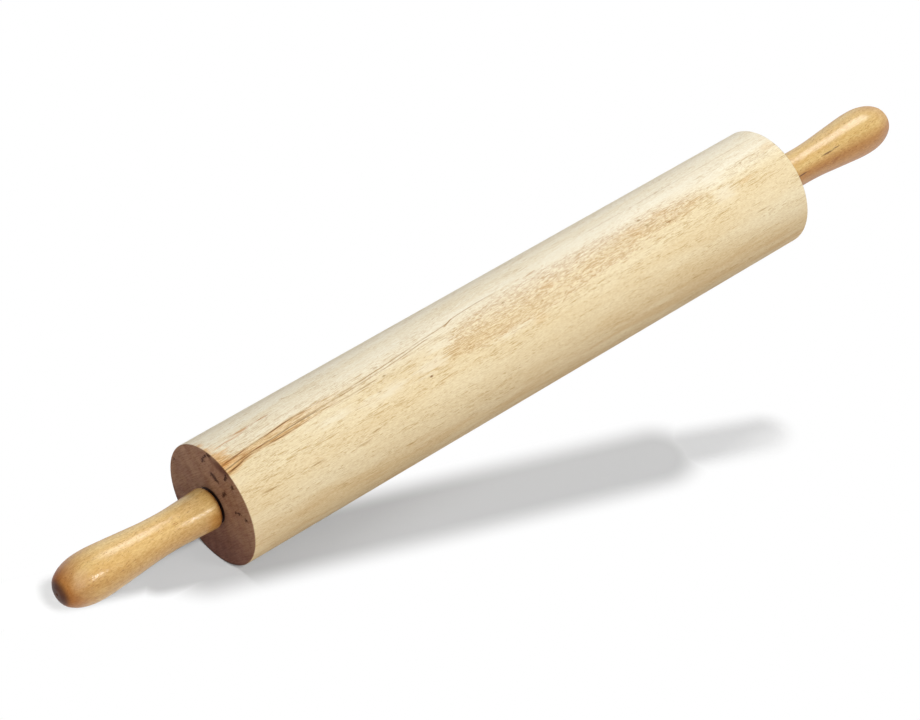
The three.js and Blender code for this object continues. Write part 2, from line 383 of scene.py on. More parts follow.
# Separate long dark dashes.
long_dashes = [
    ((125, 25.4), (12, 1.1)),
    ((155, 21.6), (6, 1.0)),
    ((205, 13.9), (7, 0.8)),
    ((190, 59.0), (8, 0.9)),
    ((-107, 6.8), (3, 1.0)),
    ((-140, 60.5), (7, 1.2)),
    ((-130, 56), (9, 1.0)),
    ((-174, 55), (6, 0.9)),
    ((-209, 54.5), (7, 1.0)),
]
red_dashes = [
    ((-212, -3.0), (10, 1.6)),
    ((-202, -6.2), (11, 1.8)),
    ((-187, -6.8), (9, 1.3)),
]
small_dots = [
    ((107.6, 9.5), (2.2, 2.2)),
    ((109.7, 18.2), (2.2, 1.9)),
    ((197, 9.6), (2.2, 1.6)),
    ((-106.6, 18.2), (1.6, 1.1)),
    ((-115.3, 28.9), (2.2, 1.2)),
    ((-9, 14), (2.0, 1.2)),
]
# The rays in the end grain rise at this angle, away from the camera's side.
ray_angle = math.radians(46)
# Dark checks in the near end's grain: each one's two ends, as places on an end face, and its half width.
end_checks = [
    ((1.6, 25.6), (4.4, 24.4), 2.6),
    ((4.4, 24.4), (7.2, 23.4), 1.9),
    ((14.3, 29.8), (14.9, 33.0), 2.0),
    ((20.3, 26.2), (20.9, 29.0), 1.8),
    ((11.4, 15.6), (13.8, 18.8), 2.2),
    ((-7.2, 29.6), (-6.4, 31.2), 1.8),
    ((-5.6, 33.0), (-3.4, 36.4), 1.2),
    ((22.4, 9.6), (26.6, 11.6), 0.9),
    ((31.6, 10.2), (32.8, 10.8), 1.7),
    ((-35.0, 12.6), (-34.0, 13.6), 1.0),
    ((-2.0, 38.4), (1.0, 38.8), 1.4),
]


def barrel_wood():
    """Bare sanded wood, cream with a tan band and a pore zone, and darker on its cut ends. Painted light
    makes its top paler, and painted shade darkens its lower side and the lower parts of its ends.
    """
    m = Finish("bare_pale_wood")
    fibres = m.fibres(0.03, -0.02, 1.3)
    rings = m.rings(fibres, 64, -38, 7.0)
    threads = m.grain(m.stretch(fibres, 7, 0.45, 0.45), 3.0, 0.65)
    uneven = m.math("SUBTRACT", m.grain(m.stretch(fibres, 13, 1.7, 1.7), 3.0, 0.6), 0.5)
    edge = m.math("MULTIPLY", uneven, 2.4)

    colour = barrel_tone(m, fibres, rings, threads)
    zone = pore_zone(m, edge)
    brown = m.most([m.spot(*patch, 1.0, edge) for patch in brown_patches])
    colour = m.tint(colour, brown, (0.96, 0.89, 0.80))
    pale = m.most([m.spot(*patch, 1.0, edge) for patch in pale_patches])
    colour = m.mix(m.math("MULTIPLY", pale, 0.5), colour, (0.90, 0.83, 0.66))
    colour = tan_band(m, colour, fibres, edge)

    # Open pores, closer together and redder in the pore zone.
    near_side = m.math("MULTIPLY", m.fade(m.facing(54), 0.90, 0.98), m.fade(m.x, -60, 0, 1.0, 0.0))
    groups = m.fade(m.grain(m.stretch(fibres, 34, 4.5, 4.5), 2.0), 0.35, 0.65, -0.075, 0.03)
    groups = m.math("MULTIPLY", groups, m.fade(zone, 0.0, 1.0, 1.0, 0.4))
    more = m.math("ADD", groups, m.fade(m.facing(110), 0.1, 0.95, 0.015, -0.04))
    more = m.math("ADD", more, m.fade(m.facing(-30), 0.72, 0.95, 0.0, -0.05))
    more = m.math("MULTIPLY_ADD", near_side, 0.02, more)
    more = m.math("MULTIPLY_ADD", pale, -0.06, m.math("MULTIPLY_ADD", zone, 0.05, more))
    near_top = m.math("MULTIPLY", m.fade(m.facing(-4), 0.88, 0.98), m.fade(m.x, -150, -90, 1.0, 0.0))
    more = m.math("MULTIPLY_ADD", near_top, 0.035, more)
    fine = m.dashes(fibres, 4.4, 0.33, more)
    long = m.dashes(fibres, 13, 0.42, m.math("SUBTRACT", more, 0.01))
    short = m.dashes(fibres, 2.6, 0.5, m.fade(zone, 0.0, 1.0, -0.2, 0.03))
    pores = m.most([fine, long, short])
    colour = m.tint(colour, pores, m.mix(zone, (0.77, 0.66, 0.51), (0.77, 0.63, 0.52)))
    dots = m.most([m.spot(*dot, 0.9, edge) for dot in small_dots])
    colour = m.tint(colour, m.math("MULTIPLY", dots, 0.8), (0.60, 0.47, 0.33))
    colour = m.tint(colour, m.spot(pin_knot, (1.7, 1.3), 0.8), (0.36, 0.22, 0.13))
    colour = m.mix(end_share(m), colour, end_grain(m, fibres, rings))

    fuzz = m.grain(m.stretch(fibres, 5, 0.3, 0.3), 2.0)
    height = m.math("MULTIPLY_ADD", pores, -1.0, m.math("MULTIPLY", fuzz, 0.35))
    rough = m.fade(threads, 0.3, 0.7, 0.54, 0.66)
    return m.set(
        Base_Color=colour,
        Roughness=m.math("MULTIPLY_ADD", pores, 0.15, rough),
        Normal=m.bump(height, 0.10 * MM, 0.5),
        IOR=1.45,
        Specular_IOR_Level=0.15,
    )


def barrel_tone(m, fibres, rings, threads):
    """Cream wood with straw-coloured rings and fibres. Its paler top is painted light, and its darker,
    warmer lower side and greyer upper back edge are painted shade.
    """
    broad = m.grain(m.stretch(fibres, 150, 15, 15), 2.0)
    streaks = m.grain(m.stretch(fibres, 60, 2.2, 2.2), 3.0, 0.6)
    flecks = m.grain(m.stretch(fibres, 2.2, 0.55, 0.55), 2.0, 0.6, 0.2)
    colour = m.mix(m.fade(broad, 0.3, 0.7), (0.915, 0.825, 0.595), (0.86, 0.735, 0.485))
    # Paler and less yellow on top: painted light.
    colour = m.mix(m.fade(m.facing(-25), 0.62, 0.95), colour, (0.955, 0.905, 0.755))
    # Darker and warmer on the lower side: painted shade.
    colour = m.tint(colour, m.fade(m.facing(0), -0.3, 0.6, 1.0, 0.0), (0.955, 0.90, 0.82))
    # Greyer along the upper back edge: painted shade.
    colour = m.tint(colour, m.fade(m.facing(-70), 0.66, 0.94), (0.86, 0.87, 0.90))
    colour = m.tint(colour, m.fade(rings, 0.38, 0.66, 0.0, 0.6), (0.94, 0.885, 0.79))
    colour = m.tint(colour, m.fade(streaks, 0.42, 0.70, 0.0, 0.35), (0.92, 0.86, 0.76))
    colour = m.tint(colour, m.fade(threads, 0.40, 0.66), (0.95, 0.92, 0.87))
    # Darker smudges on the lower side only: partly grain, partly painted shade.
    smudges = m.fade(m.grain(m.stretch(fibres, 36, 5, 5), 2.0), 0.42, 0.66)
    low = m.math("MULTIPLY", m.fade(m.facing(112), 0.72, 0.97), smudges)
    colour = m.tint(colour, low, (0.94, 0.89, 0.83))
    return m.tint(colour, m.fade(flecks, 0.35, 0.65), (0.915, 0.875, 0.82))


def pore_zone(m, edge):
    """A long, slightly pink area full of pores, from the middle towards the far end."""
    top = m.curve(m.x, pore_zone_top)
    bottom = m.curve(m.x, pore_zone_bottom)
    ragged = m.math("MULTIPLY", edge, 9)
    under_top = m.fade(m.math("ADD", m.math("SUBTRACT", m.angle, top), ragged), -5, 5)
    over_bottom = m.fade(m.math("ADD", m.math("SUBTRACT", bottom, m.angle), ragged), -5, 5)
    along = m.math("MULTIPLY", m.fade(m.x, -85, -45), m.fade(m.x, 140, 170, 1.0, 0.0))
    return m.math("MULTIPLY", m.math("MULTIPLY", under_top, over_bottom), along)


def tan_band(m, colour, fibres, edge):
    """The tan band with dark streaks that runs in from the near end, and the thin threads beyond it."""
    under_top = m.math("SUBTRACT", m.angle, m.curve(m.x, upper_streak))
    over_bottom = m.math("SUBTRACT", m.curve(m.x, lower_streak), m.angle)
    band = m.math("MULTIPLY", m.fade(under_top, -2.5, 1.5), m.fade(over_bottom, -2.5, 1.5))
    band = m.math("MULTIPLY", band, m.fade(m.x, -195, -118, 1.0, 0.0))
    strands = m.dashes(fibres, 22, 0.5, 0.06)
    colour = m.tint(colour, band, (0.95, 0.84, 0.69))
    colour = m.tint(colour, m.math("MULTIPLY", band, strands), (0.72, 0.53, 0.37))
    near_rim = m.most([m.spot((-229, 9), (14, 24), 1.0, edge), m.spot((-229, 2), (6, 36), 1.0, edge)])
    colour = m.tint(colour, near_rim, (0.90, 0.66, 0.43))
    broken = m.fade(m.grain(m.stretch(m.place, 15, 1.1, 1.1), 3.0, 0.6), 0.34, 0.54, 0.45, 1.0)
    upper_strength = m.curve(m.x, upper_strength_share)
    lower_strength = m.curve(m.x, lower_strength_share)
    halo = m.most([
        m.math("MULTIPLY", m.line(upper_streak, 2.6, 2.2, 1, 14, 0.5), upper_strength),
        m.math("MULTIPLY", m.line(lower_streak, 4.0, 2.2, 1, 14, 0.6), lower_strength),
    ])
    colour = m.tint(colour, m.math("MULTIPLY", halo, broken), (0.93, 0.77, 0.57))
    dark = m.most([
        m.math("MULTIPLY", m.line(upper_streak, 1.2, 0.9, 1, 16, 0.5), upper_strength),
        m.math("MULTIPLY", m.line(lower_streak, 1.4, 0.9, 1, 16, 0.6), lower_strength),
        m.math("MULTIPLY", m.line(middle_streak, 1.0, 0.9, 1, 16, 0.6), 0.7),
    ])
    colour = m.tint(colour, m.math("MULTIPLY", dark, broken), (0.26, 0.14, 0.08))
    thin = m.most([
        *[m.math("MULTIPLY", m.line(path, 1.1, 1.0, 12, 8, 0.5), 0.85) for path in tan_threads],
        m.line(long_thread, 0.9, 0.8, 14, 22, 0.3),
        m.math("MULTIPLY", m.line(grey_thread, 0.9, 0.9, 12, 8, 0.5), 0.4),
        m.math("MULTIPLY", m.most([m.spot(*dash, 1.0, edge) for dash in long_dashes]), 0.8),
    ])
    colour = m.tint(colour, m.math("MULTIPLY", thin, broken), (0.62, 0.47, 0.32))
    red = m.most([m.spot(*dash, 1.0, edge) for dash in red_dashes])
    colour = m.tint(colour, m.math("MULTIPLY", red, broken), (0.74, 0.50, 0.33))
    stroke = m.line(dark_stroke, 1.3, 1.0, 2, 2)
    return m.tint(colour, stroke, (0.66, 0.50, 0.34))


def end_share(m):
    """1 on the barrel's end faces and 0 on its side."""
    rim = (half_length - 0.5 * barrel_edge_radius) / MM
    return m.fade(m.math("ABSOLUTE", m.x), rim - 0.25, rim + 0.25)


def end_grain(m, fibres, rings):
    """The darker cut ends: growth rings, rays and dark checks, with painted shade towards the bottom and
    along the lower rim.
    """
    blotch = m.grain(m.stretch(m.place, 30, 7, 7), 3.0, 0.6)
    colour = m.mix(m.fade(blotch, 0.3, 0.7), (0.45, 0.268, 0.165), (0.355, 0.19, 0.12))
    # Darker and more purple towards the bottom: painted shade.
    colour = m.tint(colour, m.fade(m.z, -34, 8, 1.0, 0.0), (0.56, 0.44, 0.50))
    colour = m.tint(colour, m.fade(rings, 0.35, 0.68), (0.86, 0.81, 0.76))
    # Rays lie in straight streaks across the cut.
    ray_y, ray_z = -math.cos(ray_angle), math.sin(ray_angle)
    along_rays = m.vector("DOT_PRODUCT", fibres, (0, ray_y, ray_z))
    across_rays = m.vector("DOT_PRODUCT", fibres, (0, -ray_z, ray_y))
    rays = m.stretch(m.node("CombineXYZ", {0: along_rays, 1: across_rays}).outputs[0], 9, 0.8, 1)
    rays = m.grain(rays, 3.0, 0.65)
    colour = m.tint(colour, m.fade(rays, 0.38, 0.66), (0.74, 0.68, 0.62))
    dark_rim = m.spot_on_end((12, 36), (14, 5), rays)
    colour = m.tint(colour, dark_rim, (0.45, 0.32, 0.30))
    # A dark line along the lower rim of the end face: painted shade.
    low_rim_shade = m.math("MULTIPLY", m.fade(m.radius, 37.6, 39.2), m.fade(m.facing(200), 0.35, 0.8))
    colour = m.tint(colour, low_rim_shade, (0.30, 0.26, 0.28))
    vessels = m.cells(m.stretch(fibres, 60, 0.62, 0.62))
    colour = m.tint(colour, m.fade(vessels.outputs["Distance"], 0.16, 0.3, 0.8, 0.0), (0.66, 0.56, 0.50))
    uneven = m.noise(m.stretch(m.place, 2, 1.6, 1.6), 3.0).outputs["Color"]
    shift = m.vector("MULTIPLY", m.vector("SUBTRACT", uneven, (0.5, 0.5, 0.5)), (5.0, 5.0, 0))
    here = m.vector("ADD", m.on_end(), shift)
    checks = m.most([
        m.fade(m.from_run(here, start, end), half_width * 0.2, half_width, 1.0, 0.0)
        for start, end, half_width in end_checks
    ])
    checks = m.math("MULTIPLY", checks, m.math("LESS_THAN", m.x, 0.0))
    return m.tint(colour, checks, (0.19, 0.12, 0.10))


# Places on the far handle: (millimetres along from the middle of the pin, degrees round from the top).
handle_dashes = [
    ((half_length / MM + 49, 48.5), (7, 3.4)),
    ((half_length / MM + 57, 46.2), (5, 2.6)),
    ((half_length / MM + 24, 69), (8, 3.2)),
]
handle_arc = ((half_length / MM + 54, 78), (3, 9))


def handle_wood():
    """Amber wood under a worn gloss varnish, darker and redder towards its cut ends, with painted shade
    on its lower side, along its upper edge, on top near its tip, on its flat tip and where it meets the
    barrel.
    """
    m = Finish("varnished_amber_wood")
    from_tip = m.math("SUBTRACT", tip_place / MM, m.math("ABSOLUTE", m.x))
    fibres = m.fibres(0.03, 0.02, 2.2)
    rings = m.rings(fibres, -24, 31, 5.0)
    broad = m.grain(m.stretch(fibres, 60, 9, 9), 2.0)
    threads = m.grain(m.stretch(fibres, 5, 0.6, 0.6), 3.0, 0.65)
    mottle = m.grain(m.stretch(fibres, 3.2, 1.3, 1.3), 3.0, 0.7, 0.6)
    uneven = m.math("SUBTRACT", m.grain(m.stretch(fibres, 8, 1.4, 1.4), 3.0, 0.6), 0.5)

    colour = m.mix(m.fade(broad, 0.3, 0.7), (0.90, 0.69, 0.335), (0.83, 0.61, 0.265))
    colour = m.tint(colour, m.fade(rings, 0.36, 0.66), (0.90, 0.80, 0.64))
    colour = m.tint(colour, m.fade(threads, 0.38, 0.66), (0.91, 0.86, 0.78))
    colour = m.tint(colour, m.fade(mottle, 0.36, 0.64), (0.86, 0.78, 0.65))
    # End grain soaks up more of the stain at the tip.
    tip = m.fade(m.math("MULTIPLY_ADD", broad, 6.0, from_tip), 2.5, 24.0, 1.0, 0.0)
    # The near tip darkens twice as much as the far one: painted shade.
    tip = m.math("MULTIPLY", tip, m.math("MULTIPLY_ADD", m.math("LESS_THAN", m.x, 0.0), 0.5, 0.5))
    colour = m.tint(colour, tip, (0.66, 0.38, 0.19))
    # The tip's flat end is very dark: its end grain, deepened with painted shade.
    flat = m.fade(from_tip, 0.4, 3.4, 1.0, 0.0)
    colour = m.tint(colour, flat, (0.20, 0.14, 0.16))
    # The rounded inner edge is darkened: painted shade where the handle meets the barrel.
    painted_joint_shade = m.fade(from_tip, handle_length / MM - 4.0, handle_length / MM - 0.3)
    colour = m.tint(colour, painted_joint_shade, (0.66, 0.45, 0.33))
    # Both handles are darker on the camera's side and below, the far one more orange there: painted
    # shade. The far handle as a whole is a touch darker.
    low = m.fade(m.facing(110), 0.40, 0.90)
    far = m.math("GREATER_THAN", m.x, 0.0)
    colour = m.tint(colour, far, (0.90, 0.92, 0.92))
    colour = m.tint(colour, low, (0.81, 0.74, 0.66))
    colour = m.tint(colour, m.math("MULTIPLY", low, far), (0.88, 0.65, 0.41))
    # Darker still on the lower side near the barrel: painted shade.
    inner = m.fade(from_tip, handle_length / MM - 16, handle_length / MM - 3)
    colour = m.tint(colour, m.math("MULTIPLY", low, inner), (0.94, 0.80, 0.66))
    # Darker and redder along the upper back edge: painted shade.
    upper_edge_shade = m.fade(m.facing(-70), 0.72, 0.96)
    colour = m.tint(colour, upper_edge_shade, (0.74, 0.56, 0.40))
    # Darker on top towards the tip: painted shade.
    upper_tip_shade = m.math("MULTIPLY", m.fade(m.facing(-50), 0.40, 0.85), m.fade(from_tip, 10, 34, 1.0, 0.0))
    colour = m.tint(colour, upper_tip_shade, (0.80, 0.66, 0.47))

    few = m.fade(m.grain(m.stretch(fibres, 30, 6, 6), 2.0), 0.35, 0.65, -0.10, -0.01)
    pores = m.dashes(fibres, 2.2, 0.5, few)
    colour = m.tint(colour, pores, (0.68, 0.53, 0.37))
    dashes = m.most([m.spot(*dash, 0.9, uneven) for dash in handle_dashes])
    colour = m.tint(colour, dashes, (0.22, 0.13, 0.08))
    colour = m.tint(colour, m.spot(*handle_arc, 1.0, uneven), (0.80, 0.68, 0.55))

    # The varnish levels most of the grain, sinks a little over the pores and has a faint orange peel.
    peel = m.grain(m.stretch(m.place, 2.6, 1.9, 1.9), 2.0)
    sunk = m.math("MULTIPLY_ADD", pores, -0.6, m.math("MULTIPLY", threads, 0.5))
    level = m.bump(peel, 0.14 * MM, 0.5)
    # The worn varnish is duller where it is seen edge-on, and thin on the tip's end grain.
    edge_on = m.node("LayerWeight", {"Blend": 0.5}).outputs["Facing"]
    worn = m.fade(edge_on, 0.5, 0.85, 0.85, 0.25)
    varnish = m.math("MULTIPLY", worn, m.fade(from_tip, 1.5, 11.0, 0.1, 1.0))
    return m.set(
        Base_Color=colour,
        Roughness=m.fade(threads, 0.3, 0.7, 0.40, 0.50),
        Normal=m.bump(sunk, 0.10 * MM, 0.6),
        IOR=1.48,
        Specular_IOR_Level=0.2,
        Coat_Weight=varnish,
        Coat_Roughness=0.16,
        Coat_IOR=1.52,
        Coat_Tint=(1.0, 0.97, 0.89),
        Coat_Normal=m.bump(sunk, 0.15 * MM, 0.8, level),
    )


def steel(name, colour, roughness, ground):
    """Ground or drawn steel with fine turning marks. ground is their size along, round and radially."""
    m = Finish(name)
    turn = m.math("DIVIDE", m.angle, 10)
    place = m.node("CombineXYZ", {0: m.x, 1: turn, 2: m.radius}).outputs[0]
    marks = m.grain(m.stretch(place, *ground), 3.0, 0.6)
    smear = m.grain(m.stretch(m.place, 7, 4, 4), 3.0)
    dull = tuple(0.78 * channel for channel in colour)
    shade = m.mix(m.fade(smear, 0.35, 0.7), colour, dull)
    shade = m.tint(shade, m.fade(marks, 0.4, 0.7, 0.0, 0.5), (0.82, 0.81, 0.80))
    rough = m.fade(marks, 0.3, 0.7, roughness - 0.06, roughness + 0.08)
    rough = m.math("MULTIPLY_ADD", m.fade(smear, 0.3, 0.7), 0.12, rough)
    return m.set(
        Base_Color=shade,
        Metallic=1.0,
        Roughness=rough,
        Normal=m.bump(marks, 0.02 * MM, 0.5),
    )


def blackened_steel():
    """Pressed steel, blackened and oiled: a brown-black skin, rubbed a little where it was handled. Its
    brown tone also stands for the shade in the gap round each handle: painted shade.
    """
    m = Finish("blackened_steel")
    patchy = m.grain(m.stretch(m.place, 3, 2.2, 2.2), 3.0, 0.6)
    scratch = m.grain(m.stretch(m.place, 0.3, 5, 0.25), 2.0)
    # The brown-black tone is partly painted shade for the gap round the handle.
    shade = m.mix(m.fade(patchy, 0.35, 0.65), (0.080, 0.046, 0.035), (0.115, 0.070, 0.054))
    shade = m.tint(shade, m.fade(scratch, 0.6, 0.72, 0.0, 0.6), (0.8, 0.79, 0.77))
    return m.set(
        Base_Color=shade,
        Metallic=1.0,
        Roughness=m.fade(patchy, 0.3, 0.7, 0.45, 0.6),
        Normal=m.bump(scratch, 0.02 * MM, 0.4),
    )


def brass():
    """Pressed brass, slightly tarnished."""
    m = Finish("tarnished_brass")
    tarnish = m.grain(m.stretch(m.place, 3, 3, 3), 4.0, 0.6)
    shade = m.mix(m.fade(tarnish, 0.4, 0.7), (0.72, 0.52, 0.22), (0.42, 0.28, 0.12))
    return m.set(
        Base_Color=shade,
        Metallic=1.0,
        Roughness=m.fade(tarnish, 0.3, 0.7, 0.28, 0.5),
        Normal=m.bump(tarnish, 0.02 * MM, 0.4),
    )


def nylon():
    """Moulded nylon, dark with graphite, rubbed grey where it runs."""
    m = Finish("graphite_nylon")
    rubbed = m.grain(m.stretch(m.place, 4, 2, 2), 3.0)
    shade = m.mix(m.fade(rubbed, 0.42, 0.7), (0.025, 0.022, 0.019), (0.05, 0.046, 0.042))
    return m.set(
        Base_Color=shade,
        Roughness=m.fade(rubbed, 0.3, 0.7, 0.45, 0.6),
        Normal=m.bump(rubbed, 0.03 * MM, 0.4),
    )


# Meshes. How many segments each shape has round:
barrel_segments = 256
handle_segments = 160
ring_segments = 96
rod_segments = 48
ball_segments = 32
# Points closer together than this become one, and bends sharper than this stay sharp.
weld_distance = 0.001 * MM
sharp_edge_angle = math.radians(32)


def piece(name, points, faces, material, body, slot, *nodes):
    """A closed mesh, smooth but for its real edges, that rides on a body and stands for CAD nodes."""
    mesh = bpy.data.meshes.new(name)
    mesh.from_pydata(points, [], faces)
    shape = bmesh.new()
    shape.from_mesh(mesh)
    bmesh.ops.remove_doubles(shape, verts=shape.verts, dist=weld_distance)
    if shape.calc_volume(signed=True) < 0:
        bmesh.ops.reverse_faces(shape, faces=shape.faces)
    shape.to_mesh(mesh)
    shape.free()
    mesh.shade_smooth()
    mesh.set_sharp_from_angle(angle=sharp_edge_angle)
    mesh.materials.append(material)
    made = bpy.data.objects.new(name, mesh)
    bpy.context.scene.collection.objects.link(made)
    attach(made, body)
    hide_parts(*nodes)


def around(along, radius, angle):
    """A point round the pin's axis. Angle 0 is on top, and a quarter turn is on the camera's side."""
    return (along, -radius * math.sin(angle), axis_height + radius * math.cos(angle))


def skin(rings):
    """Points and faces over rings of points. A ring of one point closes an end."""
    points = []
    corners = []
    for ring in rings:
        corners.append(range(len(points), len(points) + len(ring)))
        points.extend(ring)
    faces = []
    for one, other in zip(corners, corners[1:]):
        for k in range(max(len(one), len(other))):
            near = (one[k % len(one)], one[(k + 1) % len(one)])
            far = (other[(k + 1) % len(other)], other[k % len(other)])
            faces.append(tuple(dict.fromkeys(near + far)))
    return points, faces


def turned(outline, segments):
    """Points and faces of an outline of (along, radius) turned about the axis. The outline closes on
    itself unless it starts and ends on the axis."""
    rings = []
    for along, radius in outline:
        count = segments if radius > 0 else 1
        rings.append([around(along, radius, 2 * math.pi * k / count) for k in range(count)])
    if len(rings[0]) > 1:
        rings.append(rings[0])
    return skin(rings)


def arc(along, radius, size, start, end, steps):
    """Points of an arc in an outline. Angles are counted from +X towards larger radii."""
    angles = [start + (end - start) * k / steps for k in range(steps + 1)]
    return [(along + size * math.cos(a), radius + size * math.sin(a)) for a in angles]


def outward(outline, side):
    """An outline counted outwards from the barrel's end face, at the right (1) or left (-1) end."""
    return [(side * (half_length + along), radius) for along, radius in outline]


def smooth_curve(through, steps):
    """Points of a smooth curve through the given ones, with steps to each span."""
    held = [through[0], *through, through[-1]]
    points = []
    for a, b, c, d in zip(held, held[1:], held[2:], held[3:]):
        for k in range(steps):
            t = k / steps
            points.append(tuple(
                q + 0.5 * t * (r - p + t * (2 * p - 5 * q + 4 * r - s + t * (3 * (q - r) + s - p)))
                for p, q, r, s in zip(a, b, c, d)
            ))
    return [*points, through[-1]]


def barrel_outline():
    """The barrel with its bore, and a counterbore and a rounded edge at each end."""
    edge = barrel_edge_radius
    one_end = [
        (half_length + counterbore_floor, rod_radius + barrel_bore_gap),
        (half_length + counterbore_floor, counterbore_radius),
        (half_length, counterbore_radius),
        (half_length, (counterbore_radius + barrel_radius) / 2),
        *arc(half_length - edge, barrel_radius - edge, edge, 0, math.pi / 2, 6),
        *[(half_length * share, barrel_radius) for share in (0.6, 0.2)],
    ]
    other_end = [(-along, radius) for along, radius in reversed(one_end)]
    return one_end + other_end


def handle_outline():
    """The handle with its drilled hole, its rounded inner edge and its dimpled tip."""
    inner = handle_inner_face
    tip = inner + handle_length
    edge = handle_edge_radius
    end_radius = handle_radius * handle_end_radius_share
    hole_bottom = inner + rod_in_handle + seat_gap
    through = [(inner + edge, end_radius)]
    through += [(inner + a * handle_length, r * handle_radius) for a, r in handle_outline_shares]
    through += [(tip, tip_flat_radius)]
    return [
        (hole_bottom + drill_point_depth, 0),
        (hole_bottom, on_rod_radius),
        (inner, on_rod_radius),
        *arc(inner + edge, end_radius - edge, edge, math.pi, math.pi / 2, 8),
        *smooth_curve(through, 6)[1:],
        (tip, tip_dimple_radius),
        (tip - tip_dimple_depth, 0),
    ]


def track(start):
    """The groove that the balls run in, from the angle start on."""
    return arc(ball_centre, ball_circle_radius, race_radius, start, start + race_angle, 12)


def cup_outline():
    groove = track(math.pi / 2)
    outer = cup_high.x - half_length
    inner = cup_low.x - half_length
    return [
        (outer, cup_radius),
        (outer, ball_circle_radius + race_radius),
        *groove,
        (inner, groove[-1][1]),
        (inner, cup_radius),
    ]


def cone_outline():
    groove = track(-math.pi / 2)
    outer = cone_high.x - half_length
    inner = cone_low.x - half_length
    return [
        (inner, on_rod_radius),
        (inner, on_rod_radius + cone_wall),
        *groove,
        (outer, groove[-1][1]),
        (outer, on_rod_radius),
    ]


def flat_ring(low, high, hole_radius, rim_radius):
    """A flat ring with slightly broken edges, between the places of two box corners."""
    inner = low.x - half_length
    outer = high.x - half_length
    return [
        (inner, hole_radius),
        (outer, hole_radius),
        (outer, rim_radius - broken_edge),
        (outer - broken_edge, rim_radius),
        (inner + broken_edge, rim_radius),
        (inner, rim_radius - broken_edge),
    ]


def thread_cut(along, turn_share):
    """How deep the rod's thread is cut at a place along it and round it."""
    from_end = rod_half_length - rod_chamfer - abs(along)
    from_shank = thread_length - from_end
    rise = min(max(min(from_end, from_shank) / thread_pitch, 0), 1)
    phase = along / thread_pitch - turn_share
    return thread_depth * rise * abs(2 * (phase - math.floor(phase)) - 1)


def rod_rings():
    """The rod as rings of points, with chamfered ends and a thread at each."""
    steps_per_pitch = 12
    count = round(thread_length / thread_pitch * steps_per_pitch)
    thread_end = rod_half_length - rod_chamfer
    places = [thread_end - thread_length * (1 - k / count) for k in range(count + 1)]
    rings = [[(-rod_half_length, 0, axis_height)]]
    for along in [-rod_half_length, *[-x for x in reversed(places)], *places, rod_half_length]:
        ring = []
        for k in range(rod_segments):
            share = k / rod_segments
            cut = rod_chamfer if abs(along) == rod_half_length else thread_cut(along, -share)
            ring.append(around(along, rod_radius - cut, 2 * math.pi * share))
        rings.append(ring)
    rings.append([(rod_half_length, 0, axis_height)])
    return rings


def ball_mesh(centre):
    """Points and faces of a ball, from rings about an axis along X."""
    steps = ball_segments // 2
    rings = []
    for k in range(steps + 1):
        angle = math.pi * k / steps
        along = centre[0] - ball_radius * math.cos(angle)
        size = ball_radius * math.sin(angle)
        count = ball_segments if 0 < k < steps else 1
        ring = []
        for j in range(count):
            turn = 2 * math.pi * j / count
            ring.append((along, centre[1] + size * math.cos(turn), centre[2] + size * math.sin(turn)))
        rings.append(ring)
    return skin(rings)


def retainer_mesh(side):
    """Points and faces of a thin ring with a round pocket for each ball. Each pocket lies in a patch of
    its own, made of loops between the patch's border and the pocket's edge, inside and outside."""
    inner_radius = ball_circle_radius - retainer_wall / 2
    half_width = (retainer_high.x - retainer_low.x) / 2
    half_arc = math.pi / ball_count
    steps = 8
    square = [(-1 + 2 * k / steps, -1) for k in range(steps)]
    border = []
    for _ in range(4):
        border += square
        square = [(-v, u) for u, v in square]
    points = []
    faces = []
    for ball in range(ball_count):
        turn = 2 * math.pi * ball / ball_count
        loops = []
        for wall_share, border_share in ((0, 1), (0, 0.5), (0, 0), (1, 0), (1, 0.5), (1, 1)):
            loop = []
            for u, v in border:
                edge = Vector((u * half_width, v * half_arc * ball_circle_radius))
                flat = edge.normalized() * race_radius * (1 - border_share) + edge * border_share
                along = side * (half_length + ball_centre) + flat.x
                radius = inner_radius + wall_share * retainer_wall
                loop.append(around(along, radius, turn + flat.y / ball_circle_radius))
            loops.append(loop)
        start = len(points)
        count = len(border)
        points += [point for loop in loops for point in loop]
        for row in range(len(loops) - 1):
            for k in range(count):
                a = start + row * count + k
                b = start + row * count + (k + 1) % count
                faces.append((a, b, b + count, a + count))
        # The two rails' outer walls. The patches' other sides meet the next ball's patch.
        last = start + (len(loops) - 1) * count
        for k in range(count):
            after = (k + 1) % count
            if abs(border[k][0]) == 1 and border[k][0] == border[after][0]:
                faces.append((last + k, last + after, start + after, start + k))
    return points, faces


def make_end(side, name, looks):
    """The pieces at one end of the pin."""
    cage = f"{name}_cage"

    def ring(part, outline, look, body, segments=ring_segments):
        node = f"{name}_{part}"
        mesh = turned(outward(outline, side), segments)
        piece(f"{node}_fine", *mesh, looks[look], body, look, node)

    ring("handle", handle_outline(), "varnished_wood", "axle", handle_segments)
    ring("bearing_cup", cup_outline(), "blackened_steel", "barrel")
    ring("bearing_cone", cone_outline(), "bearing_steel", "axle")
    shield = flat_ring(shield_low, shield_high, washer_radius + shield_hole_gap, cup_radius)
    ring("dust_shield", shield, "blackened_steel", "barrel")
    washer = flat_ring(washer_low, washer_high, on_rod_radius, washer_radius)
    ring("thrust_washer", washer, "nylon", "axle")
    node = f"{name}_ball_retainer"
    piece(f"{node}_fine", *retainer_mesh(side), looks["brass"], cage, "brass", node)
    for number in range(1, ball_count + 1):
        node = f"{name}_ball_{number}"
        low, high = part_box(node)
        mesh = ball_mesh((low + high) / 2)
        piece(f"{node}_fine", *mesh, looks["bearing_steel"], cage, "bearing_steel", node)


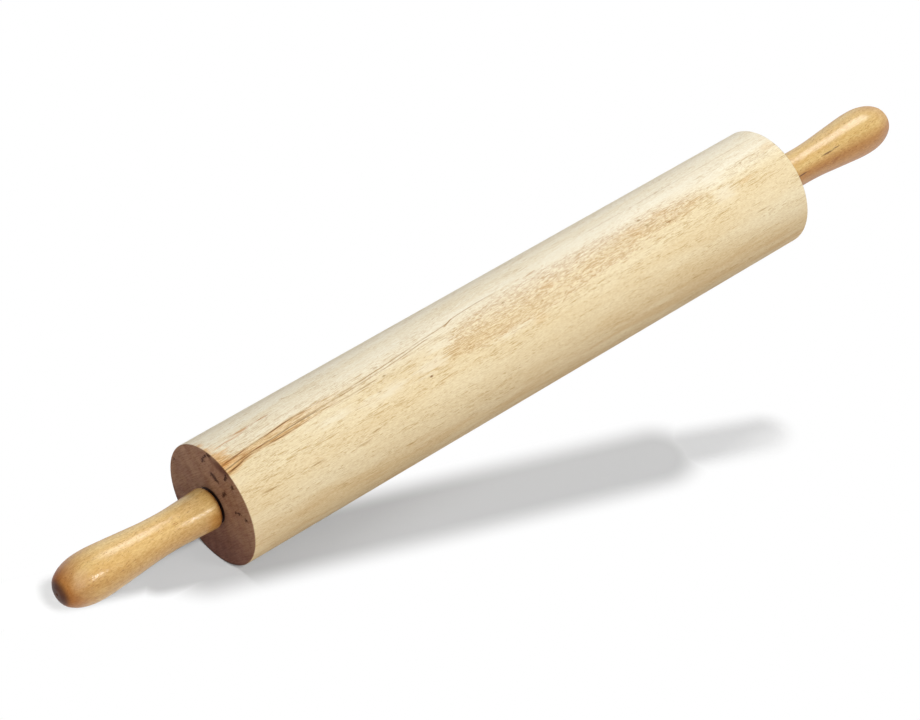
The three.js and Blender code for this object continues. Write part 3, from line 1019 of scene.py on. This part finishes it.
def make_pin():
    """Every piece of the pin. The looks go by the names of the material slots."""
    looks = {
        "pale_wood": barrel_wood(),
        "varnished_wood": handle_wood(),
        "rod_steel": steel("drawn_rod_steel", (0.60, 0.60, 0.61), 0.34, (0.5, 3, 0.5)),
        "bearing_steel": steel("ground_bearing_steel", (0.68, 0.68, 0.69), 0.2, (0.3, 2, 0.3)),
        "blackened_steel": blackened_steel(),
        "brass": brass(),
        "nylon": nylon(),
    }
    mesh = turned(barrel_outline(), barrel_segments)
    piece("barrel_fine", *mesh, looks["pale_wood"], "barrel", "pale_wood", "barrel")
    mesh = skin(rod_rings())
    piece("axle_rod_fine", *mesh, looks["rod_steel"], "axle", "rod_steel", "axle_rod")
    make_end(1, "right", looks)
    make_end(-1, "left", looks)


# Stage. The floor shows the pin's shadow near these runs and fades to white away from them. Each run
# has its two ends, how far from it the shadow stays whole and how far off it ends, in millimetres, and
# the share of the shadow that shows.
shadow_runs = [
    ((-236, -3), (24, -111), 13, 37, 1.0),
    ((34, -112), (88, -140), 6, 25, 0.8),
    ((-352, 50), (-240, 2), 9, 20, 1.0),
    ((-262, 9), (-240, -2), 12, 23, 1.0),
    ((-250, 15), (-228, 11), 8, 22, 1.0),
]
# The floor is in two parts, which meet just behind the near end face, and each has suns of its own.
floor_split = -half_length + 3 * MM
floor_reach = 4.0
# How wide the floor's suns look, which sets how soft the shadow's edges are.
sun_breadth = math.radians(8)
# How far the lamps on the pin stand from it.
lamp_distance = 2.0


def floor_part(name, start, end, material):
    """A flat rectangle of floor from start to end along X."""
    mesh = bpy.data.meshes.new(name)
    near_side = [(start, -floor_reach, 0), (end, -floor_reach, 0)]
    far_side = [(end, floor_reach, 0), (start, floor_reach, 0)]
    mesh.from_pydata(near_side + far_side, [], [(0, 1, 2, 3)])
    mesh.materials.append(material)
    part = bpy.data.objects.new(name, mesh)
    bpy.context.scene.collection.objects.link(part)
    return part


def make_floor():
    """A plain floor in two parts. To the camera and in reflections it is white, but for the pin's
    shadow. The light that it throws on the pin is that of dark, slightly warm paper."""
    material = bpy.data.materials.new("pale_paper")
    material.use_nodes = True
    net = Net(material.node_tree)
    paper = net.node("BsdfDiffuse", {"Color": (0.12, 0.108, 0.105)}).outputs[0]
    shaded = net.node("BsdfDiffuse", {"Color": (0.15, 0.15, 0.15)}).outputs[0]
    glow = net.node("Emission", {"Color": (1, 1, 1), "Strength": 0.15}).outputs[0]
    white = net.node("Emission", {"Color": (1, 1, 1), "Strength": 1.0}).outputs[0]
    backdrop = net.node("AddShader", {0: shaded, 1: glow}).outputs[0]
    place = net.stretch_flat(net.node("TexCoord").outputs["Object"], MM, MM)
    shown = net.most([
        net.fade(net.from_run(place, start, end), whole_to, ends_at, share, 0.0)
        for start, end, whole_to, ends_at, share in shadow_runs
    ])
    faded = net.math("SUBTRACT", 1.0, shown)
    backdrop = net.node("MixShader", {0: faded, 1: backdrop, 2: white}).outputs[0]
    surface = net.node("MixShader", {0: net.seen(), 1: paper, 2: backdrop}).outputs[0]
    net.node("OutputMaterial", {0: surface})
    far_part = floor_part("floor", floor_split, floor_reach, material)
    near_part = floor_part("near_floor", -floor_reach, floor_split, material)
    return far_part, near_part


def floor_sun(part, name, towards, strength):
    """A soft sun that shines on one part of the floor alone, for a clear shadow of the pin."""
    data = bpy.data.lights.new(name, "SUN")
    data.energy = strength
    data.angle = sun_breadth
    lamp = bpy.data.objects.new(name, data)
    lamp.rotation_euler = Vector(towards).to_track_quat("Z", "Y").to_euler()
    bpy.context.scene.collection.objects.link(lamp)
    lit = bpy.data.collections.new(f"lit_by_{name}")
    lit.objects.link(part)
    lamp.light_linking.receiver_collection = lit


def make_world():
    """White behind the pin, and a soft, even light on it."""
    world = bpy.data.worlds.new("studio")
    bpy.context.scene.world = world
    world.use_nodes = True
    net = Net(world.node_tree)
    light = net.node("Background", {"Color": (1, 1, 1), "Strength": 0.30}).outputs[0]
    white = net.node("Background", {"Color": (1, 1, 1), "Strength": 1.0}).outputs[0]
    backdrop = net.node("MixShader", {0: net.seen(), 1: light, 2: white}).outputs[0]
    net.node("OutputWorld", {0: backdrop})


def softbox(name, towards, size, power):
    """A square lamp that shines on the pin from the direction towards."""
    data = bpy.data.lights.new(name, "AREA")
    data.shape = "SQUARE"
    data.size = size
    data.energy = power
    lamp = bpy.data.objects.new(name, data)
    direction = Vector(towards).normalized()
    lamp.location = direction * lamp_distance
    lamp.rotation_euler = direction.to_track_quat("Z", "Y").to_euler()
    bpy.context.scene.collection.objects.link(lamp)


def light_stage():
    """The lamps on the pin, and colours shown as they are."""
    softbox("key_lamp", (0.56, 0.13, 0.81), 0.95, 18)
    softbox("top_lamp", (-0.25, -0.35, 0.95), 1.2, 5.6)
    softbox("back_lamp", (0.52, 0.60, 0.60), 0.5, 0.7)
    softbox("front_lamp", (0.10, -0.83, 0.55), 0.36, 10.5)
    softbox("fill_lamp", (-0.50, -0.80, 0.60), 1.2, 7)
    bpy.context.scene.view_settings.view_transform = "Standard"


place_camera()
make_world()
light_stage()
floor, near_floor = make_floor()
floor_sun(floor, "floor_sun", (0.9, 1.0, 0.56), 24.5)
floor_sun(floor, "floor_front_sun", (-0.25, -0.65, 0.75), 5.7)
floor_sun(near_floor, "near_floor_sun", (1.3, 0.2, 0.9), 15.7)
floor_sun(near_floor, "near_floor_front_sun", (-0.25, -0.65, 0.75), 8.8)
make_pin()
